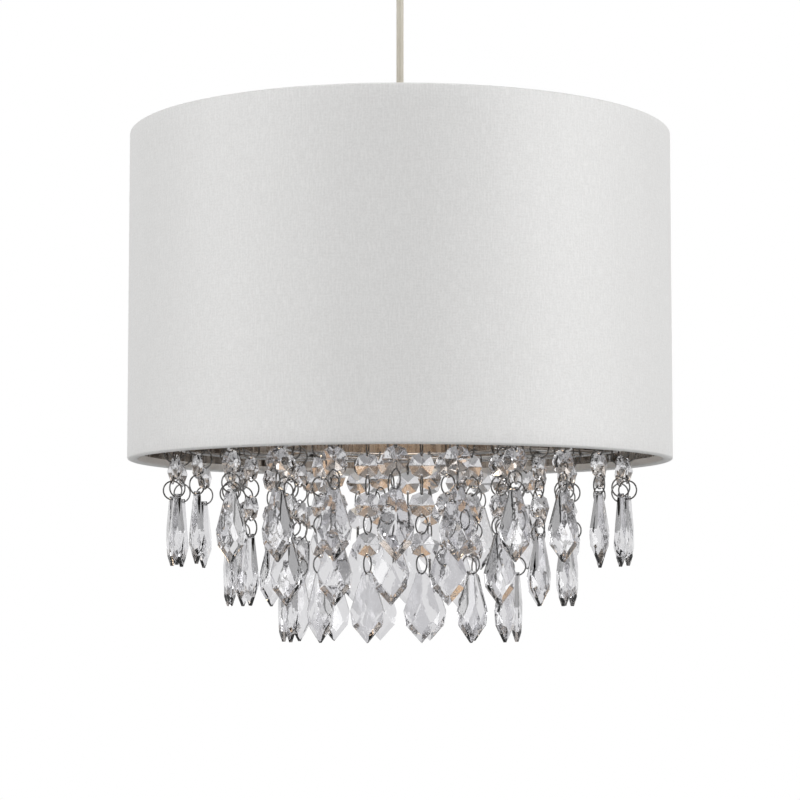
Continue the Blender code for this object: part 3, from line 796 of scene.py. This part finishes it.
def makeLampGlass():
    low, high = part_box("lamp_glass")
    size = lampSizes
    radius, neck = size["globeRadius"], size["neckRadius"]
    center, length = low.z + radius, high.z - low.z

    def skin(inset):
        flank = [(radius * wide - inset, low.z + length * up) for wide, up in globeFlank]
        turns = [math.pi / 2 * k / size["globeSteps"] for k in range(size["globeSteps"])]
        globe = [((radius - inset) * math.cos(t), center - (radius - inset) * math.sin(t)) for t in turns]
        return [(neck - inset, high.z), *flank, *globe, (0.0, center - radius + inset)]

    outline = [*skin(0.0), *skin(size["wall"])[::-1]]
    return turnedPiece("lampGlass", outline, opalGlass, sides=96, sharp=60)


settle(makeLampCap(), "lamp", "nickel", "lamp_cap")
settle(makeLampGlass(), "lamp", "opal_glass", "lamp_glass")
print("lamp made")


# Shade: cloth drum with hems turned in over the frame rings, silver lining, spider and droplet frame

shadeSizes = {"cloth": 0.0006, "hem": 0.0045, "rim": 0.0013, "flapIn": 0.0036, "lap": 0.012,
              "lapRise": 0.00025, "hemWave": 0.00012, "hemTurns": (17, 5), "sides": 240, "rollSteps": 12,
              "rows": 24, "near": 0.0001}
liningSizes = {"thick": 0.0005, "rows": 12, "sides": 180, "wave": 0.00010, "waveTurns": (9, 4), "lean": 40}


def makeShadeCloth():
    low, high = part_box("shade_fabric")
    size = shadeSizes
    outer, cloth, rim, hem = high.x - size["lapRise"], size["cloth"], size["rim"], size["hem"]
    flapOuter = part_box("spider_frame")[1].y - size["flapIn"]
    flapInner, inside = flapOuter - cloth, outer - cloth
    lower, upper = low.z, high.z

    def roll(bottom):
        # the cloth rolled over the ring: outside quarter, crown and inside quarter
        middle, half = (outer + flapInner) / 2, (outer - flapInner) / 2
        turns = [math.pi * k / size["rollSteps"] for k in range(size["rollSteps"] + 1)]
        if bottom:
            return [(middle - half * math.cos(t), lower + rim - rim * math.sin(t)) for t in turns]
        return [(middle + half * math.cos(t), upper - rim + rim * math.sin(t)) for t in turns]

    rows = size["rows"]
    wall = [(outer, lower + rim + (upper - lower - 2 * rim) * k / rows) for k in range(1, rows)]
    outline = [*roll(True), *wall, *roll(False), (flapInner, upper - hem), (flapOuter, upper - hem),
               (flapOuter, upper - 2 * cloth), (inside, upper - 2 * cloth),
               (inside, lower + 2 * cloth), (flapOuter, lower + 2 * cloth),
               (flapOuter, lower + hem), (flapInner, lower + hem)]

    def wave(turn, r, z):
        # the glued lap at the back stands proud, and the hems' raw edges wander a little
        fromBack = abs(turn - math.pi) * outer
        proud = size["lapRise"] if r > inside - size["near"] and fromBack < size["lap"] / 2 else 0.0
        fast, slow = size["hemTurns"]
        wander = size["hemWave"] * math.sin(fast * turn) * math.sin(slow * turn + 1)
        nearHem = r <= flapOuter and (z > upper - 2 * hem or z < lower + 2 * hem)
        return proud + (wander if nearHem else 0.0)

    return turnedPiece("shadeCloth", outline, shadeSilk, size["sides"], sharp=50, wave=wave)


def makeShadeLining():
    low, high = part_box("shade_lining")
    size = liningSizes
    rows = size["rows"]
    outline = [(high.x, low.z + (high.z - low.z) * k / rows) for k in range(rows + 1)]
    outline += [(r - size["thick"], z) for r, z in outline[::-1]]

    def wave(turn, r, z):
        # the film stands off the cloth in places
        fast, slow = size["waveTurns"]
        return -size["wave"] * (1 + math.sin(fast * turn + size["lean"] * z) * math.sin(slow * turn))

    return turnedPiece("shadeLining", outline, foilLining, size["sides"], sharp=50, wave=wave)


frameSizes = {"ringWire": 0.0015, "sunk": 0.0003, "spiderHole": 0.0215, "plateWidth": 0.0045,
              "plateThick": 0.0015, "plateEdge": 0.0005, "arms": 3, "spoke": 0.0014, "armStart": 0.0011,
              "armBend": 0.006, "armEnds": (0.0005, 0.0002), "tierWire": 0.001, "tierSpoke": 0.0012,
              "tierBend": 0.003, "spokeAngle": 33.2, "spokes": 4, "outerTier": 0.125,
              "middleTier": 0.0945, "innerTier": 0.064}

jointPlaces = {joint["child"]: Vector(joint["pos_m"]) for joint in frame["joints"] if "pos_m" in joint}
tierHeight = jointPlaces["outer_strand_01"].z


def makeSpider():
    # the upper ring, the plate that the lampholder grips, and three arms laid on the plate
    low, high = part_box("spider_frame")
    size = frameSizes
    ringRadius, ringZ = high.y - size["ringWire"], high.z - size["ringWire"]
    hole, plateHigh = size["spiderHole"], low.z + size["plateThick"]
    outline = [(hole, plateHigh), (hole + size["plateWidth"], plateHigh),
               (hole + size["plateWidth"], low.z), (hole, low.z)]
    meshes = [ringMesh("ring", ringRadius, ringZ, size["ringWire"], sides=192),
              turnedMesh("plate", softened(outline, size["plateEdge"]), sides=96)]
    wireZ = plateHigh + size["spoke"] - size["sunk"]
    beforeBend, atRing = size["armEnds"]
    for k in range(size["arms"]):
        angle = 2 * math.pi * k / size["arms"]
        points = bent([around(angle, hole + size["armStart"], wireZ),
                       around(angle, ringRadius - beforeBend, wireZ),
                       around(angle, ringRadius - atRing, ringZ)], size["armBend"], steps=8)
        meshes.append(wireMesh("spoke", points, size["spoke"]))
    return addPiece("spider", merged("spider", meshes), coatedWire)


def makeDropletFrame():
    # the lower ring, and the outer and inner rings of the droplets on four spokes
    low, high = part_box("bottom_frame")
    size = frameSizes
    ringRadius, ringZ = high.x - size["ringWire"], low.z + size["ringWire"]
    meshes = [ringMesh("rimRing", ringRadius, ringZ, size["ringWire"], sides=192),
              ringMesh("outerRing", size["outerTier"], tierHeight, size["tierWire"], sides=192),
              ringMesh("innerRing", size["innerTier"], tierHeight, size["tierWire"], sides=128)]
    wireZ = tierHeight + size["tierWire"] + size["tierSpoke"] - size["sunk"]
    for k in range(size["spokes"]):
        angle = math.radians(size["spokeAngle"] + 360 / size["spokes"] * k)
        points = bent([around(angle, ringRadius, ringZ), around(angle, ringRadius, wireZ),
                       around(angle, size["innerTier"] - size["tierWire"], wireZ)], size["tierBend"], steps=6)
        meshes.append(wireMesh("spoke", points, size["tierSpoke"]))
    return addPiece("dropletFrame", merged("dropletFrame", meshes), chromeWire)


settle(makeShadeLining(), "shade", "silver_lining", "shade_lining")
shadeCloth = settle(makeShadeCloth(), "shade", "fabric", "shade_fabric")
settle(makeSpider(), "shade", "white_metal", "spider_frame")
settle(makeDropletFrame(), "shade", "chrome", "bottom_frame")
print("shade made")


# Droplets: cut beads and drops on link rings, in three tiers

beadSizes = {"across": 0.014, "thick": 0.0062, "girdle": 0.0012, "spare": 0.001}
# heights on the drop are shares of its length, counted from the top
dropSizes = {"length": 0.038, "width": 0.019, "beltAt": 0.56, "shoulderWidth": 0.0165, "shoulderAt": 0.76,
             "neckWidth": 0.0056, "neckThick": 0.0034, "neckTop": 0.45, "neckDrop": 0.0014,
             "thick": 0.0064, "ridgeAt": 0.45, "kiteAt": 0.68, "kiteHalf": 0.0052,
             "footAt": 0.87, "footThick": 0.0050, "rim": 0.0018}
holeSizes = {"radius": 0.00075, "inFrom": 0.00172, "reach": 0.01}
drapeSizes = {"linkRadius": 0.00508, "wire": 0.00042, "holeInset": 0.0013, "seat": 0.0003,
              "linkTurn": 0.5, "beadTurn": 0.12, "dropTurn": 0.16, "stoneSharp": 5, "linkSharp": 60}
# the middle strands sit down on their own ring, which lies a little below the others
middleSizes = {"strands": 20, "firstAngle": -2.8, "beads": 2, "firstSeed": 200, "ringDown": 0.0006,
               "strandDown": 0.0006}


def cutStone(name, outline, thick, planes):
    # a slab with the outline of (x, z) points, cut by planes of three points each, mirrored to the back
    bm = bmesh.new()
    front = [bm.verts.new((x, -thick / 2, z)) for x, z in outline]
    solid = bmesh.ops.extrude_face_region(bm, geom=[bm.faces.new(front)])
    behind = [v for v in solid["geom"] if isinstance(v, bmesh.types.BMVert)]
    bmesh.ops.translate(bm, verts=behind, vec=(0, thick, 0))
    bmesh.ops.recalc_face_normals(bm, faces=bm.faces)
    for plane in planes:
        a, b, c = (Vector(point) for point in plane)
        normal = (b - a).cross(c - a).normalized()
        if normal.y > 0:
            normal = -normal
        for back in (False, True):
            point, facing = a.copy(), normal.copy()
            if back:
                point.y, facing.y = -point.y, -facing.y
            bmesh.ops.bisect_plane(bm, geom=[*bm.verts, *bm.edges, *bm.faces], dist=1e-7,
                                   plane_co=point, plane_no=facing, clear_outer=True)
            bmesh.ops.holes_fill(bm, edges=[e for e in bm.edges if e.is_boundary])
    bmesh.ops.remove_doubles(bm, verts=bm.verts, dist=1e-6)
    bmesh.ops.recalc_face_normals(bm, faces=bm.faces)
    return inOrder(bm, name)


def inOrder(bm, name):
    # the cuts leave points and faces in another order on each run, so the mesh is made in a fixed one
    spots = {v: tuple(round(part, 7) + 0.0 for part in v.co) for v in bm.verts}
    places = sorted(set(spots.values()))
    faces = []
    for face in bm.faces:
        corners = [places.index(spots[v]) for v in face.verts]
        first = corners.index(min(corners))
        faces.append(corners[first:] + corners[:first])
    bm.free()
    mesh = bpy.data.meshes.new(name)
    mesh.from_pydata(places, [], sorted(faces))
    return mesh


def stoneHole(z):
    hole = rod("hole", holeSizes["radius"], -holeSizes["reach"], holeSizes["reach"], sides=12)
    return carried(hole, Matrix.Translation((0, 0, z)) @ Matrix.Rotation(math.pi / 2, 4, "X"))


def makeBeadStone():
    # an octagon with a corner up, and a low peak of eight faces on each side
    size = beadSizes
    radius, half, girdle = size["across"] / 2, size["thick"] / 2, size["girdle"] / 2
    corners = [(radius * math.sin(math.pi / 4 * k), radius * math.cos(math.pi / 4 * k)) for k in range(8)]
    rim = [(x, -girdle, z) for x, z in corners]
    planes = [((0, -half, 0), rim[k - 1], rim[k]) for k in range(8)]
    mesh = cutStone("beadStone", corners, size["thick"] + size["spare"], planes)
    holeAt = radius - holeSizes["inFrom"]
    return cutOut("beadStone", mesh, [stoneHole(holeAt), stoneHole(-holeAt)])


def makeDropStone():
    # narrow neck, belt, shoulder and V; a ridge down to the kite-shaped front, and bevels under it
    size = dropSizes
    length, half, footHalf = size["length"], size["thick"] / 2, size["footThick"] / 2
    belt, shoulder = size["width"] / 2, size["shoulderWidth"] / 2
    neck, rim = size["neckWidth"] / 2, size["rim"] / 2
    beltZ, shoulderZ = -size["beltAt"] * length, -size["shoulderAt"] * length
    side = [(neck * size["neckTop"], 0), (neck, -size["neckDrop"]), (belt, beltZ), (shoulder, shoulderZ)]
    outline = [*side, (0, -length), *((-x, z) for x, z in side[::-1])]
    ridgeAt, kiteAt, footAt = size["ridgeAt"], size["kiteAt"], size["footAt"]
    top, foot = (0, -half, -ridgeAt * length), (0, -footHalf, -footAt * length)
    kiteDepth = half - (half - footHalf) * (kiteAt - ridgeAt) / (footAt - ridgeAt)
    neckFront = (0, -size["neckThick"] / 2, 0)
    planes = [(top, foot, (0.001, top[1], top[2]))]
    for side in (-1, 1):
        kite = (side * size["kiteHalf"], -kiteDepth, -kiteAt * length)
        beltRim, shoulderRim = (side * belt, -rim, beltZ), (side * shoulder, -rim, shoulderZ)
        planes += [(neckFront, top, beltRim), (kite, beltRim, shoulderRim),
                   (foot, shoulderRim, (0, -rim, -length))]
    mesh = cutStone("dropStone", outline, size["thick"], planes)
    return cutOut("dropStone", mesh, [stoneHole(-holeSizes["inFrom"])])


def turnedPoints(tree, inputs, count):
    # points one under another, each with a random turn about the strand
    line = addNode(tree, "GeometryNodeMeshLine", {
        "Count": count, "Start Location": upright(tree, inputs["First"]),
        "Offset": upright(tree, inputs["Step"])})
    least = upright(tree, mathNode(tree, "MULTIPLY", inputs["Loose"], -1.0))
    turn = addNode(tree, "FunctionNodeRandomValue", {
        0: least, 1: upright(tree, inputs["Loose"]), "Seed": inputs["Seed"]}, data_type="FLOAT_VECTOR")
    return {"Points": line.outputs[0], "Rotation": turn.outputs[0]}


def makeLinkTree():
    # link rings one under another, each standing in the plane of the light's axis and turned a little
    tree, inputs, output = newTree("linkChain", (
        ("Links", "Int"), ("Ring Radius", "Float"), ("Wire Radius", "Float"), ("Step", "Float"),
        ("First", "Float"), ("Loose", "Float"), ("Seed", "Int"), ("Finish", "Material")))
    ring, section = (addNode(tree, "GeometryNodeCurvePrimitiveCircle", {
        "Resolution": sides, "Radius": inputs[radius]}).outputs[0]
        for sides, radius in ((28, "Ring Radius"), (7, "Wire Radius")))
    solid = addNode(tree, "GeometryNodeCurveToMesh", {"Curve": ring, "Profile Curve": section})
    standing = addNode(tree, "GeometryNodeTransform", {
        "Geometry": solid.outputs[0], "Rotation": (0, math.pi / 2, 0)})
    spread = addNode(tree, "GeometryNodeInstanceOnPoints", {
        "Instance": standing.outputs[0], **turnedPoints(tree, inputs, inputs["Links"])})
    closeTree(tree, inputs, output, spread.outputs[0])
    return tree


def makeStoneTree():
    # beads one under another and the drop below them, each turned a little about the strand
    tree, inputs, output = newTree("stoneChain", (
        ("Beads", "Int"), ("Step", "Float"), ("First", "Float"), ("Drop Top", "Float"),
        ("Drop Turn", "Float"), ("Loose", "Float"), ("Seed", "Int"), ("Bead", "Object"),
        ("Drop", "Object"), ("Finish", "Material")))
    bead, drop = (addNode(tree, "GeometryNodeObjectInfo", {"Object": inputs[stone]}).outputs["Geometry"]
                  for stone in ("Bead", "Drop"))
    beads = addNode(tree, "GeometryNodeInstanceOnPoints", {
        "Instance": bead, **turnedPoints(tree, inputs, inputs["Beads"])})
    hungDrop = addNode(tree, "GeometryNodeTransform", {
        "Geometry": drop, "Translation": upright(tree, inputs["Drop Top"]),
        "Rotation": upright(tree, inputs["Drop Turn"])})
    both = addNode(tree, "GeometryNodeJoinGeometry")
    for part in (hungDrop, beads):
        tree.links.new(part.outputs[0], both.inputs[0])
    closeTree(tree, inputs, output, both.outputs[0])
    return tree


beadStone = inScene("beadStone", makeBeadStone())
dropStone = inScene("dropStone", makeDropStone())
linkBore = drapeSizes["linkRadius"] - drapeSizes["wire"]
beadStep = linkBore + beadSizes["across"] / 2 - drapeSizes["holeInset"]
firstLink = frameSizes["tierWire"] + drapeSizes["seat"] - linkBore
linkTree = makeLinkTree()
stoneTree = makeStoneTree()


def strandMeshes(beads, seed, dice, angle, radius, z):
    # one strand's links and its stones, hung at a place on a ring
    size = drapeSizes
    links = grown("links", linkTree, {
        "Links": beads + 1, "Ring Radius": size["linkRadius"], "Wire Radius": size["wire"],
        "Step": -2 * beadStep, "First": firstLink, "Loose": size["linkTurn"], "Seed": seed,
        "Finish": linkSteel})
    lastLink = firstLink - 2 * beadStep * beads
    stones = grown("stones", stoneTree, {
        "Beads": beads, "Step": -2 * beadStep, "First": firstLink - beadStep,
        "Drop Top": lastLink - linkBore + size["holeInset"],
        "Drop Turn": dice.uniform(-size["dropTurn"], size["dropTurn"]), "Loose": size["beadTurn"],
        "Seed": seed, "Bead": beadStone, "Drop": dropStone, "Finish": clearAcrylic})
    where = Matrix.Translation(around(angle, radius, z)) @ Matrix.Rotation(angle, 4, "Z")
    return carried(links, where), carried(stones, where)


def addStrand(label, number, links, stones, body, *nodes):
    stones = addPiece(f"{label}Stones{number}", stones, clearAcrylic, drapeSizes["stoneSharp"])
    settle(stones, body, "crystal", *nodes)
    links = addPiece(f"{label}Links{number}", links, linkSteel, drapeSizes["linkSharp"])
    settle(links, body, "chrome")


def hangStrand(label, number, beads, node, dice):
    spot = jointPlaces[node]
    angle, radius = math.atan2(spot.x, -spot.y), math.hypot(spot.x, spot.y)
    links, stones = strandMeshes(beads, number, dice, angle, radius, tierHeight)
    addStrand(label, f"{number:02d}", links, stones, node, node)


def makeMiddleTier():
    # the middle ring with its strands, which all ride on the shade
    size, radius = middleSizes, frameSizes["middleTier"]
    ringZ = tierHeight - size["ringDown"]
    dice = random.Random(31)
    strands = []
    for k in range(size["strands"]):
        angle = math.radians(size["firstAngle"]) + 2 * math.pi * k / size["strands"]
        strands.append(strandMeshes(size["beads"], size["firstSeed"] + k, dice, angle, radius,
                                    ringZ - size["strandDown"]))
    ring = ringMesh("ring", radius, ringZ, frameSizes["tierWire"], sides=160)
    links, stones = (merged(name, meshes) for name, meshes in
                     zip(("middleLinks", "middleStones"), zip(*strands)))
    addStrand("middle", "", links, stones, "shade", "middle_tier")
    settle(addPiece("middleRing", ring, chromeWire), "shade", "chrome")


dice = random.Random(7)
for label, prefix, beads in (("outer", "outer_strand_", 1), ("inner", "inner_strand_", 3)):
    nodes = sorted(name for name in frame["nodes"] if name.startswith(prefix))
    for number, node in enumerate(nodes, 1):
        hangStrand(label, number, beads, node, dice)
makeMiddleTier()
for model in (beadStone, dropStone):
    bpy.data.objects.remove(model)
print("droplets hung")


# Studio: a pale floor far below, a white surround and soft light from both sides

studio = {"floorBelow": -2.35, "floorSize": 9.0, "floorTone": (0.86, 0.86, 0.85), "floorRoughness": 0.6,
          "floorGlow": 0.11, "floorShown": 0.55, "fill": 0.24, "backFill": 0.80,
          "level": (0.93, 0.93, 0.93), "overhead": (0.80, 0.80, 0.81), "behindCamera": (0.70, 0.70, 0.71)}
# each softbox's place, its width and height, and its power
softboxes = {"leftBox": ((-1.84, -1.15, 0.1), (0.9, 1.8), 23.8),
             "rightBox": ((1.91, -1.02, 0.1), (0.9, 1.8), 27.6),
             "topBox": ((0, -0.3, 1.6), (1.2, 1.2), 10)}


def mirroredRays(tree, rays):
    # 1 for a ray that comes off metal or through the acrylic, which show the studio too
    return mathNode(tree, "MAXIMUM", rays.outputs["Is Glossy Ray"], rays.outputs["Is Transmission Ray"])


def makeFloor():
    bm = bmesh.new()
    bmesh.ops.create_grid(bm, x_segments=1, y_segments=1, size=studio["floorSize"])
    bmesh.ops.translate(bm, verts=bm.verts, vec=(0, 0, studio["floorBelow"]))
    floor = inScene("floor", meshFrom(bm, "floor"))
    finish, tree, shader = newFinish("paleFloor", studio["floorTone"], studio["floorRoughness"],
                                     EmissionColor=(1, 1, 1))
    rays = addNode(tree, "ShaderNodeLightPath")
    glow = mathNode(tree, "ADD", mathNode(tree, "MULTIPLY", mirroredRays(tree, rays), studio["floorGlow"]),
                    mathNode(tree, "MULTIPLY", rays.outputs["Is Camera Ray"], studio["floorShown"]))
    tree.links.new(glow, shader.inputs["Emission Strength"])
    floor.data.materials.append(finish)


def makeSoftbox(name, location, size, power, target):
    light = bpy.data.lights.new(name, "AREA")
    light.shape = "RECTANGLE"
    light.size, light.size_y = size
    light.energy = power
    lamp = inScene(name, light)
    lamp.location = location
    lamp.rotation_euler = (Vector(target) - Vector(location)).to_track_quat("-Z", "Y").to_euler()


def makeSurround():
    world = bpy.data.worlds.new("surround")
    scene.world = world
    world.use_nodes = True
    tree = world.node_tree
    background = tree.nodes["Background"]
    rays = addNode(tree, "ShaderNodeLightPath")
    seen = mathNode(tree, "MAXIMUM", rays.outputs["Is Camera Ray"], mirroredRays(tree, rays))
    direction = addNode(tree, "ShaderNodeTexCoord").outputs["Generated"]
    forward, upward = addNode(tree, "ShaderNodeSeparateXYZ", {"Vector": direction}).outputs[1:3]
    # steep directions are greyer than level ones, and the room behind the camera is darkest
    steep = between(tree, mathNode(tree, "ABSOLUTE", upward), 0.0, 1.0, 0.30, 0.85)
    room = blended(tree, steep, studio["level"], studio["overhead"])
    nearCamera = between(tree, forward, 1.0, 0.0, -0.97, -0.75)
    room = blended(tree, nearCamera, room, studio["behindCamera"])
    shown = blended(tree, rays.outputs["Is Camera Ray"], room, (1, 1, 1))
    tree.links.new(shown, background.inputs["Color"])
    # the fill is stronger from behind, where no softbox stands
    fill = between(tree, forward, studio["fill"], studio["backFill"], 0.1, 0.7)
    tree.links.new(between(tree, seen, fill, 1.0, 0.0, 1.0), background.inputs["Strength"])


makeFloor()
middle = (0, 0, (shadeLow.z + shadeHigh.z) / 2)
for name, (location, size, power) in softboxes.items():
    makeSoftbox(name, location, size, power, middle)
makeSurround()
scene.view_settings.view_transform = "Standard"
print("studio set")
